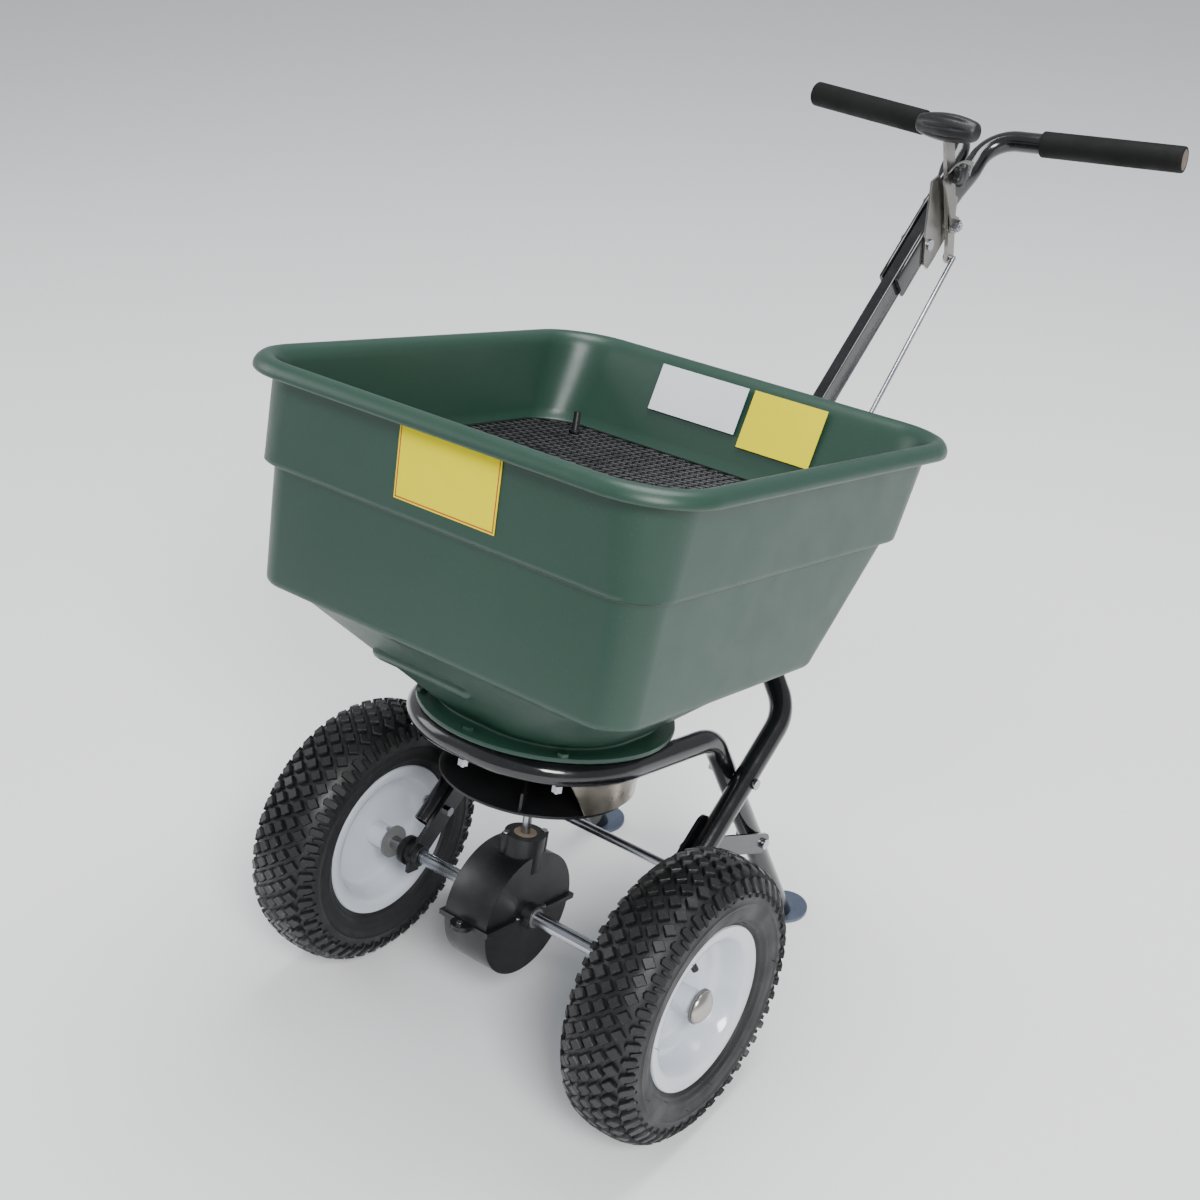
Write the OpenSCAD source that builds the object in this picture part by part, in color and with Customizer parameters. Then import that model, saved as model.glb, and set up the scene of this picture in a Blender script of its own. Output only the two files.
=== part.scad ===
// Push broadcast spreader: green hopper on a tubular frame, two pneumatic wheels, a bevel gear case on the
// axle that turns an impeller, and a T handle with a flow lever. Millimetres, +Z up, the machine faces -Y.
// Everything but the wheels is drawn in the machine's own upright frame, with the axle along X at its
// origin, and is then leaned back about the axle until the two feet stand on the ground.

/* [Stance] */
// Backward lean of the machine on its feet, degrees
lean_deg = 15; // [13:0.5:17]
// Distance from the middle of the machine to each wheel's centre plane
wheel_x = 220; // [216:1:230]

/* [Wheels] */
// Outer radius of the tyres
tyre_r = 155; // [150:1:158]
// Width of the tyres
tyre_w = 86; // [80:1:90]
// Radius of the rim flanges
rim_r = 91; // [86:1:94]
// Width of the rims over their flanges
rim_w = 67; // [60:1:70]
// Radius of the axle
axle_r = 8; // [7:0.5:9]

/* [Hopper] */
// Height of the hopper's crest above the axle
crest_z = 568; // [560:1:590]
// Half width of the hopper wall under its lip
top_half_w = 247; // [240:1:252]
// Height of the step that carries the screen
step_z = 466; // [455:1:475]
// Height of the lower edge of the hopper's box
box_z = 341; // [330:1:350]
// Wall thickness of the hopper
wall = 4; // [3:0.5:5]

/* [Frame] */
// Outer radius of the frame and handle tubes
tube_r = 12.7; // [11:0.1:13]
// Wall thickness of the tubes
tube_wall = 1.6; // [1.2:0.1:2.5]
// Height of the ring tube's centre above the axle
ring_z = 222; // [220:1:224]
// Radius of the gear case
case_r = 71; // [68:1:74]
// Radius of the impeller disc
impeller_r = 102; // [96:1:103]

/* [Handle] */
// Half span of the T handle to the ends of its grips
grip_end_x = 257; // [240:1:280]
// Radius of the grips
grip_r = 16; // [15:0.5:18]

/* [Hidden] */
$fn = 64;
run = 0.05;          // running clearance on radius
snug = 0.02;         // clearance on radius of parts pressed or pinned together
eps = 0.01;
origin_y = -407.35;  // brings the middle of the machine's length to the origin
wheel_out = [-1, 1];

// ---- placing -----------------------------------------------------------------------------------------
module at_axle() { translate([0, origin_y, tyre_r]) children(); }
module leaned() { at_axle() rotate([-lean_deg, 0, 0]) children(); }
module along_x(x) { translate([x, 0, 0]) rotate([0, 90, 0]) children(); }
module at_wheel(side) { at_axle() translate([side * wheel_x, 0, 0]) rotate([0, side * 90, 0]) children(); }
module mirrored_pair() {
    children();
    mirror([1, 0, 0]) children();
}

// ---- shapes used again ---------------------------------------------------------------------------------
// A round rod from a to b
module rod(a, b, r) {
    d = b - a;
    translate(a) rotate([0, acos(d[2] / norm(d)), atan2(d[1], d[0])]) cylinder(h = norm(d), r = r);
}
// A hollow tube from a to b
module pipe(a, b, r, r_in) {
    d = b - a;
    translate(a) rotate([0, acos(d[2] / norm(d)), atan2(d[1], d[0])])
        linear_extrude(height = norm(d)) difference() {
        circle(r = r);
        circle(r = r_in);
    }
}
function unit(v) = v / norm(v);
function turn_deg(p, i) = acos(unit(p[i] - p[i - 1]) * unit(p[i + 1] - p[i]));
function tangent_len(p, bend, i) =
    (i == 0 || i == len(p) - 1) ? 0 : bend[i] * tan(turn_deg(p, i) / 2);
// A hollow tube through the points p, with the bend radius bend[i] at each inner point. The bends have a
// slightly thicker wall, so that the straight lengths end inside them.
bend_lap = 1;
bend_swell = 0.05;
module bent_tube(p, bend, r, r_in) {
    last = len(p) - 1;
    for (i = [0 : last - 1]) {
        u = unit(p[i + 1] - p[i]);
        a = i == 0 ? p[0] : p[i] + u * (tangent_len(p, bend, i) - bend_lap);
        b = i == last - 1 ? p[last] : p[i + 1] - u * (tangent_len(p, bend, i + 1) - bend_lap);
        pipe(a, b, r, r_in);
    }
    for (i = [1 : len(p) - 2]) {
        u = unit(p[i] - p[i - 1]);
        v = unit(p[i + 1] - p[i]);
        n = unit(v - u * (u * v));
        b = cross(u, n);
        c = p[i] - u * tangent_len(p, bend, i) + n * bend[i];
        multmatrix([[-n[0], u[0], b[0], c[0]], [-n[1], u[1], b[1], c[1]], [-n[2], u[2], b[2], c[2]]])
            rotate_extrude(angle = turn_deg(p, i)) translate([bend[i], 0]) difference() {
                circle(r = r + bend_swell);
                circle(r = r_in - bend_swell);
            }
    }
}
// A flat bar with round ends between two points of the machine's YZ plane, thick along X from x0
module flat_bar(x0, thick, a, b, w) {
    d = b - a;
    translate([x0, a[0], a[1]]) rotate([atan2(d[1], d[0]), 0, 0]) {
        translate([0, 0, -w / 2]) cube([thick, norm(d), w]);
        along_x(0) cylinder(h = thick, r = w / 2);
        translate([0, norm(d), 0]) along_x(0) cylinder(h = thick, r = w / 2);
    }
}
// A hexagon head or nut along +Z
module hex(af, h) { cylinder(h = h, r = af / sqrt(3), $fn = 6); }
// Eight thin posts at the rounded corners of one level of the hopper: [half width, front, rear, z, radius]
module level(s) {
    for (x = [-1, 1]) for (y = [s[1] + s[4], s[2] - s[4]])
        translate([x * (s[0] - s[4]), y, s[3]]) cylinder(h = 0.02, r = s[4], $fn = 32);
}
module loft(a, b) {
    hull() {
        level(a);
        level(b);
    }
}
function inset(s, t, z) = [s[0] - t, s[1] + t, s[2] - t, z, s[4] - t];

// ---- wheels --------------------------------------------------------------------------------------------
rim_out = rim_w / 2;
bead_r = 78;         // seat of the tyre's beads
hub_r = 14;
hub_in = -38;        // inner end of the hub tube, from the wheel's centre plane
hub_out = 26;
hub_bore = 11;
drive_pin_at = -33;  // drive pin of the left wheel, from the wheel's centre plane
valve_lean = 55;     // lean of the valve stem from the wheel's axis
valve_root = [-90, 0, -10.8];

module valve_line() { translate(valve_root) rotate([0, valve_lean, 0]) children(); }
module drive_pin_hole()
    { translate([-20, 0, drive_pin_at]) rotate([0, 90, 0]) cylinder(h = 40, r = 2.5 + snug); }

module tyre(side) {
    color([0.05, 0.05, 0.05]) at_wheel(side) rotate_extrude() polygon([
        [bead_r + 0.3, -rim_out + 5], [rim_r - 4, -rim_out + 3], [rim_r + 1, -rim_out + 2.5],
        [rim_r + 5, -rim_out - 1], [115, -tyre_w / 2],
        [132, -tyre_w / 2 + 1], [145, -tyre_w / 2 + 7], [152, -tyre_w / 2 + 17], [tyre_r, -12],
        [tyre_r, 12], [152, tyre_w / 2 - 17], [145, tyre_w / 2 - 7],
        [132, tyre_w / 2 - 1], [115, tyre_w / 2], [rim_r + 5, rim_out + 1],
        [rim_r + 1, rim_out - 2.5], [rim_r - 4, rim_out - 3],
        [bead_r + 0.3, rim_out - 5], [bead_r + 0.3, rim_out - 14], [95, rim_out - 2], [115, tyre_w / 2 - 8],
        [134, tyre_w / 2 - 12], [145, 12], [145, -12], [134, -tyre_w / 2 + 12], [115, -tyre_w / 2 + 8],
        [95, -rim_out + 2], [bead_r + 0.3, -rim_out + 14]]);
}
module inner_tube(side) {
    color([0.12, 0.12, 0.12]) at_wheel(side) {
        rotate_extrude() translate([112, 0]) circle(r = 27);
        valve_line() cylinder(h = 55, r = 2.6);
    }
}
// Deep-dish pressed rim: a trough for the tyre and one flat disc, on the machine's side of the middle
module rim(side) {
    color([0.93, 0.93, 0.92]) at_wheel(side) difference() {
        rotate_extrude() polygon([[bead_r, rim_out - 3], [rim_r - 4, rim_out], [rim_r, rim_out - 2],
            [rim_r, rim_out],
            [rim_r - 5, rim_out + 2], [bead_r - 2.5, rim_out - 1.5], [66, 9], [58, 5], [54, -4], [18, -8],
            [hub_r + 0.1, -8], [hub_r + 0.1, -11], [19, -11], [54, -7.5], [62, -7.5], [66, -12],
            [bead_r - 2.5, -rim_out + 1.5], [rim_r - 5, -rim_out - 2], [rim_r, -rim_out],
            [rim_r, -rim_out + 2], [rim_r - 4, -rim_out], [bead_r, -rim_out + 3], [69, -12], [68, 9]]);
        valve_line() translate([0, 0, 15]) cylinder(h = 30, r = 3.4);
    }
}
module hub(side) {
    color([0.9, 0.9, 0.9]) at_wheel(side) difference() {
        translate([0, 0, hub_in]) cylinder(h = hub_out - hub_in, r = hub_r);
        translate([0, 0, hub_in - 1]) cylinder(h = hub_out - hub_in + 2, r = hub_bore);
        if (side < 0) drive_pin_hole();
    }
}
// The two flanged bushes in the ends of the hub; the right-hand pair runs freely on the axle
module hub_bushes(side) {
    color([0.3, 0.3, 0.32]) at_wheel(side) difference() {
        union() {
            translate([0, 0, hub_in - 3]) cylinder(h = 17, r = hub_bore - snug);
            translate([0, 0, hub_in - 3]) cylinder(h = 2.96, r = 19);
            translate([0, 0, hub_out - 14]) cylinder(h = 17, r = hub_bore - snug);
            translate([0, 0, hub_out + 0.04]) cylinder(h = 2.96, r = 19);
        }
        translate([0, 0, hub_in - 10]) cylinder(h = 90, r = axle_r + (side < 0 ? snug : run));
        if (side < 0) drive_pin_hole();
    }
}
module hub_cap(side) {
    color([0.75, 0.74, 0.72]) at_wheel(side) translate([0, 0, 29.3]) difference() {
        rotate_extrude() polygon([[0, 0], [17, 0], [18, 1], [18, 3], [16.5, 5], [12, 7.2], [6, 8.4],
            [0, 8.8]]);
        translate([0, 0, -eps]) cylinder(h = 3.7, r = axle_r + 3);
    }
}

// ---- axle and gears --------------------------------------------------------------------------------------
axle_half = wheel_x + 31;
drive_pin_x = -wheel_x - drive_pin_at;
gear_x = -30;        // back face of the crown gear
gear_pin_x = gear_x + 14;
ring_teeth = 40;
pinion_teeth = 10;
mesh_r = 52;         // pitch radius of the crown gear
tooth_w = 2.4;

module axle() {
    color([0.75, 0.77, 0.8]) at_axle() difference() {
        along_x(-axle_half) cylinder(h = 2 * axle_half, r = axle_r);
        translate([drive_pin_x, 0, -20]) cylinder(h = 40, r = 2.5 + snug);
        rotate([-lean_deg, 0, 0]) translate([gear_pin_x, 0, -20]) cylinder(h = 40, r = 2 + snug);
    }
}
// The pin that locks the left wheel's hub to the axle and the roll pin of the crown gear
module axle_pins() {
    color([0.7, 0.7, 0.72]) at_axle() {
        translate([drive_pin_x, 0, -16]) cylinder(h = 32, r = 2.5);
        rotate([-lean_deg, 0, 0]) translate([gear_pin_x, 0, -13.5]) cylinder(h = 27, r = 2);
    }
}
// Round bushes in the strut brackets, with the axle running in them
module axle_bushes() {
    color([0.06, 0.06, 0.06]) at_axle() for (s = wheel_out) difference() {
        union() {
            along_x(s * 150 - 14) cylinder(h = 28, r = 12.4);
            along_x(s * 156 - 4) cylinder(h = 8, r = 17);
        }
        along_x(s * 150 - 20) cylinder(h = 40, r = axle_r + run);
    }
}
// The crown gear faces +X; its blocks mesh with the pinion above the axle
module bevel_gear() {
    color([0.2, 0.2, 0.2]) leaned() difference() {
        union() {
            along_x(gear_x) cylinder(h = 8, r = 60);
            along_x(gear_x) cylinder(h = 22, r = 14);
            for (i = [0 : ring_teeth - 1]) rotate([i * 360 / ring_teeth, 0, 0])
                translate([gear_x + 7, -tooth_w / 2, mesh_r - 4]) cube([10.1, tooth_w, 10]);
        }
        along_x(gear_x - 20) cylinder(h = 60, r = axle_r + snug);
        translate([gear_pin_x, 0, -20]) cylinder(h = 40, r = 2 + snug);
    }
}
module pinion() {
    color([0.6, 0.6, 0.6]) leaned() difference() {
        union() {
            translate([0, 0, mesh_r - 3.5]) cylinder(h = 17, r = 10.4);
            for (i = [0 : pinion_teeth - 1]) rotate([0, 0, (i + 0.5) * 360 / pinion_teeth])
                translate([9, -tooth_w / 2, mesh_r - 3.5]) cube([6, tooth_w, 9]);
        }
        cylinder(h = 90, r = 5 + snug);
    }
}

// ---- gear case ---------------------------------------------------------------------------------------------
case_x0 = -37;
case_x1 = 21;
case_t = 3;
ear_y = case_r + 6;

module case_outer(r) {
    along_x(case_x0) cylinder(h = case_x1 - case_x0, r = r);
    along_x(case_x0 - 9) cylinder(h = case_x1 - case_x0 + 20, r = 14);
}
module case_inner(r) {
    along_x(case_x0 + case_t) cylinder(h = case_x1 - case_x0 - 2 * case_t, r = r);
    along_x(case_x0 - 30) cylinder(h = case_x1 - case_x0 + 60, r = 11);
}
module half_space(sign) { translate([-200, -200, sign > 0 ? 0 : -400 - snug]) cube([400, 400, 400]); }
module case_flange(z, h) {
    translate([case_x0 - 5, -case_r - 3, z]) cube([case_x1 - case_x0 + 10, 2 * case_r + 6, h]);
    for (s = wheel_out) translate([-8, s * ear_y, z]) cylinder(h = h, r = 12);
}
screw_at = [[case_x0 - 2.2, -22], [case_x0 - 2.2, 22], [case_x1 + 2.2, -22], [case_x1 + 2.2, 22],
    [-8, -ear_y - 3], [-8, ear_y + 3]];
neck_top = 90;
neck_screws = [60, 240];
module case_holes() { for (p = screw_at) translate([p[0], p[1], -10]) cylinder(h = 20, r = 1.6 + snug); }
module gear_case_upper() {
    color([0.09, 0.09, 0.1]) leaned() difference() {
        union() {
            intersection() {
                case_outer(case_r);
                half_space(1);
            }
            case_flange(0, 3);
            translate([0, 0, 50]) cylinder(h = neck_top - 50, r = 22.5);
            for (a = neck_screws) rotate([0, 0, a]) translate([22, 0, neck_top - 22])
                cylinder(h = 21.7, r = 5);
        }
        case_inner(case_r - case_t);
        translate([0, 0, 30]) cylinder(h = 49, r = 17);
        translate([0, 0, 70]) cylinder(h = 40, r = 12.5);
        for (a = neck_screws) rotate([0, 0, a]) translate([22, 0, neck_top - 18])
            cylinder(h = 22, r = 1.6 + snug);
        case_holes();
        // Spot faces for the screw heads, where they sit close to the case's sides
        for (p = screw_at) translate([p[0], p[1], 2.98]) cylinder(h = 2.4, r = 3.6);
    }
}
module gear_case_lower() {
    color([0.08, 0.08, 0.09]) leaned() difference() {
        union() {
            intersection() {
                case_outer(case_r - 1);
                half_space(-1);
            }
            case_flange(-3, 2.98);
        }
        case_inner(case_r - case_t - 1);
        case_holes();
        translate([-16, -case_r - 8, -18]) cube([14, 6, 9]);
    }
}
module case_screws() {
    color([0.8, 0.8, 0.8]) leaned() {
        for (p = screw_at) translate([p[0], p[1], -4]) {
            cylinder(h = 7.1, r = 1.6);
            translate([0, 0, 7.03]) cylinder(h = 2, r = 3.4);
        }
        for (a = neck_screws) rotate([0, 0, a]) translate([22, 0, neck_top - 16]) {
            cylinder(h = 16.1, r = 1.6);
            translate([0, 0, 16.05]) cylinder(h = 2.2, r = 3.4);
        }
    }
}
// Two bushes that carry the case on the axle
module case_bushes() {
    color([0.3, 0.3, 0.3]) leaned() for (x = [case_x0 - 10, case_x1 - 4]) difference() {
        along_x(x) cylinder(h = 16, r = 11 - snug);
        along_x(x - 1) cylinder(h = 20, r = axle_r + run);
    }
}
module shaft_bush() {
    color([0.72, 0.6, 0.42]) leaned() difference() {
        translate([0, 0, 79.02]) cylinder(h = 11.4, r = 12.48);
        translate([0, 0, 70]) cylinder(h = 30, r = 5 + run);
    }
}

// ---- impeller -----------------------------------------------------------------------------------------------
disc_z = 157;
shaft_top = 276;
module impeller_shaft() {
    color([0.72, 0.74, 0.78]) leaned() difference() {
        translate([0, 0, mesh_r - 3.5]) cylinder(h = shaft_top - mesh_r + 3.5, r = 5);
        translate([0, 20, disc_z + 16]) rotate([90, 0, 0]) cylinder(h = 40, r = 2 + snug);
    }
}
module impeller() {
    color([0.05, 0.05, 0.05]) leaned() difference() {
        union() {
            translate([0, 0, disc_z]) cylinder(h = 3, r = impeller_r);
            translate([0, 0, disc_z - 6]) cylinder(h = 30, r = 13);
            for (a = [0 : 90 : 270]) rotate([0, 0, a + 30])
                translate([12, -1.5, disc_z + 2]) cube([impeller_r - 16, 3, 20]);
        }
        translate([0, 0, disc_z - 20]) cylinder(h = 60, r = 5 + snug);
        translate([0, 20, disc_z + 16]) rotate([90, 0, 0]) cylinder(h = 40, r = 2 + snug);
    }
}
module impeller_pin() {
    color([0.7, 0.7, 0.7]) leaned() translate([0, 15, disc_z + 16]) rotate([90, 0, 0])
        cylinder(h = 30, r = 2);
}
module agitator() {
    color([0.7, 0.72, 0.75]) leaned() difference() {
        union() {
            translate([0, 0, shaft_top - 18]) cylinder(h = 12, r = 9);
            translate([-34, 0, shaft_top - 12]) rotate([0, 90, 0]) cylinder(h = 68, r = 2.5);
        }
        translate([0, 0, shaft_top - 40]) cylinder(h = 60, r = 5 + snug);
    }
}

// ---- hopper ---------------------------------------------------------------------------------------------------
floor_z = ring_z + tube_r + 0.3;
band_top = [top_half_w, -229, 286, crest_z - 12, 70];
band_low = [top_half_w - 4, -225, 251, step_z - wall, 62];
body_top = [top_half_w - 11, -218, 241, step_z + eps, 57];
body_low = [top_half_w - 18, -214, 143, box_z, 50];
cone_top = [top_half_w - 36, -196, 124, box_z + eps, 46];
cone_low = [112, -108, 112, floor_z + 5, 96];
lip_low = [top_half_w + 21, -250, 307, crest_z - 16, 91];
lip_top = [top_half_w + 10, -240, 297, crest_z, 80];
bolt_at = [[-94, -91], [0, -124], [94, -91]];
port_x = 39;         // the two ports in the hopper's floor
port_y = 27;
port_r = 12;
module hopper() {
    color([0.16, 0.36, 0.29]) leaned() difference() {
        union() {
            loft(lip_low, lip_top);
            loft(band_low, band_top);
            loft(body_low, body_top);
            loft(cone_low, cone_top);
            translate([0, 0, floor_z]) cylinder(h = 5.3, r = 136.5);
            for (b = bolt_at) translate([b[0], b[1], floor_z]) cylinder(h = 4.7, r = 12);
        }
        loft(inset(body_low, wall, box_z + 2), inset(body_top, wall, step_z + 0.3));
        loft(inset(band_low, wall, step_z), inset(band_top, wall, crest_z + 2));
        loft(inset(cone_low, wall, floor_z + 5), inset(cone_top, wall, box_z + 2.1));
        translate([0, 0, floor_z - 1]) cylinder(h = 10, r = 7);
        for (x = [-1, 1]) translate([x * port_x, port_y, floor_z - 1]) cylinder(h = 10, r = port_r);
        for (b = bolt_at) translate([b[0], b[1], floor_z - 1]) cylinder(h = 10, r = 3.1);
    }
}
// Steel screen that rests on the hopper's step
screen_half = band_low[0] - wall - 2;
screen_y0 = band_low[1] + wall + 2;
screen_y1 = band_low[2] - wall - 2;
screen_zt = step_z + 0.3;
module screen_outline() {
    hull() for (x = [-1, 1]) for (y = [screen_y0 + 55, screen_y1 - 55])
        translate([x * (screen_half - 55), y]) circle(r = 55);
}
module screen() {
    color([0.05, 0.05, 0.06]) leaned() translate([0, 0, screen_zt]) {
        linear_extrude(height = 3) difference() {
            screen_outline();
            translate([0, (screen_y0 + screen_y1) / 2])
                square([2 * screen_half - 34, screen_y1 - screen_y0 - 34], center = true);
        }
        for (x = [-196 : 28 : 196]) translate([x - 2, screen_y0 + 10, 0])
            cube([4, screen_y1 - screen_y0 - 20, 3]);
        for (y = [-180 : 28 : 212]) translate([-screen_half + 10, y - 2, 0])
            cube([2 * screen_half - 20, 4, 3]);
    }
}
module screen_peg() {
    color([0.04, 0.04, 0.04]) leaned() translate([-168, 212 - 8, screen_zt + 3.02]) {
        cylinder(h = 24, r = 4);
        cylinder(h = 3, r = 7);
    }
}
shutter_z = floor_z - 3.1;
shutter_travel = 25.7;
shutter_w = 62;      // half width of the shutter
// Ported plate that slides under the hopper's floor, with a slot for the impeller's shaft
module shutter() {
    color([0.7, 0.71, 0.73]) leaned() translate([0, 0, shutter_z]) difference() {
        union() {
            translate([-shutter_w, -48, 0]) cube([2 * shutter_w, 128, 2.4]);
            translate([18, 79, 0]) cube([30, 23, 2.4]);
        }
        translate([0, 0, -1]) cylinder(h = 5, r = 7.5);
        translate([-7.5, 0, -1]) cube([15, shutter_travel + 8, 5]);
        for (x = [-1, 1]) translate([x * port_x, port_y + shutter_travel, -1]) cylinder(h = 5, r = port_r);
    }
}
arm_root = [33, 138];
arm_tip = [62, 180];
arm_turn = atan2(arm_tip[0] - arm_root[0], arm_tip[1] - arm_root[1]);
module shutter_arm() {
    color([0.7, 0.71, 0.73]) leaned() translate([0, 0, shutter_z - 3.02]) difference() {
        union() {
            translate([22, 68, 0]) cube([22, 70, 3]);
            translate([arm_root[0], arm_root[1], 0]) cylinder(h = 3, r = 12);
            translate([arm_root[0], arm_root[1], 0]) rotate([0, 0, -arm_turn]) translate([-11, 0, 0])
                cube([22, norm(arm_tip - arm_root), 3]);
            translate([arm_tip[0], arm_tip[1], 0]) cylinder(h = 3, r = 13);
        }
        translate([arm_tip[0], arm_tip[1], -1]) cylinder(h = 6, r = 5.5);
    }
}
module shutter_guides() {
    color([0.65, 0.66, 0.68]) leaned() mirrored_pair() translate([0, -72, shutter_z]) {
        translate([shutter_w + 0.4, 0, -2.7]) cube([10, 134, floor_z - shutter_z + 2.68]);
        translate([shutter_w - 6, 0, -2.7]) cube([16.4, 134, 2.4]);
    }
}
// Sheet deflector round the impeller, open to the front, its front edges cut back towards the bottom
deflector_r = 107;
deflector_z0 = 163;
module deflector() {
    color([0.62, 0.58, 0.52]) leaned() difference() {
        translate([0, 0, deflector_z0]) linear_extrude(height = floor_z - 0.3 - deflector_z0) difference() {
            circle(r = deflector_r);
            circle(r = deflector_r - 1.6);
        }
        translate([0, -deflector_r, deflector_z0 + 60]) rotate([28, 0, 0])
            translate([-200, -170, -200]) cube([400, 200, 400]);
        translate([12, 60, shutter_z - 6]) cube([42, 80, 30]);
    }
}
module hopper_bolts() {
    color([0.78, 0.79, 0.8]) leaned() for (b = bolt_at) translate([b[0], b[1], 0]) {
        translate([0, 0, floor_z + 5.34]) hex(11, 4);
        translate([0, 0, ring_z - tube_r - 9]) cylinder(h = 2 * tube_r + 16, r = 3);
        translate([0, 0, ring_z - tube_r - 7.1]) hex(10, 7);
    }
}
front_tilt = atan((band_low[1] - band_top[1]) / (band_top[3] - band_low[3]));
module front_label() {
    color([0.85, 0.85, 0.15]) leaned() translate([-44, band_top[1] - 0.9, band_top[3] - 4])
        rotate([front_tilt, 0, 0]) translate([0, 0, -73]) cube([121, 0.5, 73]);
}
rear_tilt = atan((band_top[2] - band_low[2]) / (crest_z + 2 - step_z));
// A plate on the inside of the rear wall, its lower edge at height z
module rear_label(x, w, z, h) {
    translate([x, band_low[2] - wall, step_z]) rotate([-rear_tilt, 0, 0])
        translate([0, -0.9, (z - step_z) / cos(rear_tilt)]) cube([w, 0.5, h]);
}
module rear_labels() {
    color([0.9, 0.92, 0.95]) leaned() {
        rear_label(-112, 118, 508, 54);
        rear_label(14, 94, 497, 66);
    }
}

// ---- frame -----------------------------------------------------------------------------------------------------
leg_pts = [[-141, 372, -81.5], [-133, 122, ring_z], [-122, -124, ring_z], [122, -124, ring_z],
    [133, 122, ring_z], [141, 372, -81.5]];
foot_h = 4;
strap_a = [124, 100];
strap_b = [250, 66.6];
crossing = [161, 174];
bolt_r = 3;
module bolt_hole(p, x0, x1)
    { translate([0, p[0], p[1]]) along_x(x0) cylinder(h = x1 - x0, r = bolt_r + 0.1); }
module leg_frame() {
    color([0.04, 0.04, 0.04]) difference() {
        leaned() difference() {
            bent_tube(leg_pts, [0, 45, 112, 112, 45, 0], tube_r, tube_r - tube_wall);
            for (b = bolt_at) translate([b[0], b[1], ring_z - 40]) cylinder(h = 80, r = bolt_r + 0.1);
            for (p = [crossing, strap_b]) bolt_hole(p, -190, 190);
        }
        translate([-300, -400, -300]) cube([600, 800, 300 + foot_h]);
    }
}
foot_at = [140.5, origin_y + 337];
// Half-round foot plate, flat on the ground
module foot(side) {
    color([0.1, 0.11, 0.13]) translate([side * foot_at[0], foot_at[1], 0]) intersection() {
        cylinder(h = foot_h - snug, r = 28);
        translate([-50, -25, -1]) cube([100, 100, foot_h + 2]);
    }
}
strut_dir = [160, 172];
strut_x = 142;
strut_t = 4.6;
function on_strut(s) = unit(strut_dir) * s;
strut_bolts = [on_strut(60), on_strut(140)];
brace_at = on_strut(115);
module strut(side) {
    color([0.05, 0.05, 0.05]) leaned() mirror([side < 0 ? 1 : 0, 0, 0]) difference() {
        union() {
            flat_bar(strut_x, strut_t, [0, 0], on_strut(170), 26);
            translate([strut_x, -13, -20]) cube([strut_t, 17, 20]);
        }
        along_x(strut_x - 5) cylinder(h = 20, r = 12.45);
        for (p = strut_bolts) bolt_hole(p, strut_x - 5, strut_x + 15);
        translate([0, brace_at[0], brace_at[1]]) along_x(strut_x - 5) cylinder(h = 20, r = 4);
    }
}
arch_x = 160;
arch_top = [263.5, 336];
arch_pts = [[-arch_x, 24, 25.8], [-arch_x, 222, 240], [-58, arch_top[0], arch_top[1]],
    [58, arch_top[0], arch_top[1]], [arch_x, 222, 240], [arch_x, 24, 25.8]];
module handle_frame() {
    color([0.04, 0.04, 0.04]) leaned() difference() {
        bent_tube(arch_pts, [0, 55, 48, 48, 55, 0], tube_r, tube_r - tube_wall);
        for (p = [strut_bolts[0], strut_bolts[1], crossing]) bolt_hole(p, -190, 190);
        arch_bolt_line() translate([0, 0, -60]) cylinder(h = 90, r = bolt_r + 0.1);
    }
}
strap_x = 150.2;
strap_t = 3;
module side_straps() {
    color([0.05, 0.05, 0.05]) leaned() mirrored_pair() difference() {
        flat_bar(strap_x, strap_t, strap_a, strap_b, 24);
        bolt_hole(strap_b, strap_x - 5, strap_x + 10);
    }
}
module brace_rod() {
    color([0.72, 0.74, 0.78]) leaned() translate([0, brace_at[0], brace_at[1]]) {
        along_x(-strut_x + 0.4) cylinder(h = 2 * strut_x - 0.8, r = 5);
        along_x(-strut_x - strut_t) cylinder(h = 2 * (strut_x + strut_t), r = 3.9);
    }
}
// A bolt along X through the point p: hexagon head below x0, nut or dome from x1 on
module cross_bolt(p, x0, x1, end) {
    translate([0, p[0], p[1]]) {
        along_x(x0 - 5) hex(10, 5);
        along_x(x0 - 0.5) cylinder(h = x1 - x0 + 0.5 + end, r = bolt_r);
        along_x(x1) cylinder(h = end, r = 6);
    }
}
module frame_bolts() {
    color([0.75, 0.76, 0.78]) leaned() {
        mirrored_pair() {
            for (p = strut_bolts) cross_bolt(p, strut_x - snug, arch_x + tube_r + 0.1, 2.6);
            cross_bolt(crossing, 121.2, arch_x + tube_r + 0.1, 4);
            cross_bolt(strap_b, 123.8, strap_x + strap_t + snug, 4);
        }
        arch_bolt_line() {
            translate([0, 0, lower_d / 2 + snug]) hex(10, 5);
            translate([0, 0, -arch_gap - tube_r - 8])
                cylinder(h = arch_gap + tube_r + lower_d / 2 + 9, r = bolt_r);
            translate([0, 0, -arch_gap - tube_r - 6.2]) hex(10, 6);
        }
    }
}

// ---- handle -----------------------------------------------------------------------------------------------------
// The handle's centre line in the machine's YZ plane
line_z = 537;
line_y = 468;
line_slope = 0.836;
line_lean = atan(line_slope);
function on_line(z) = [line_y + line_slope * (z - line_z), z];
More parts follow.
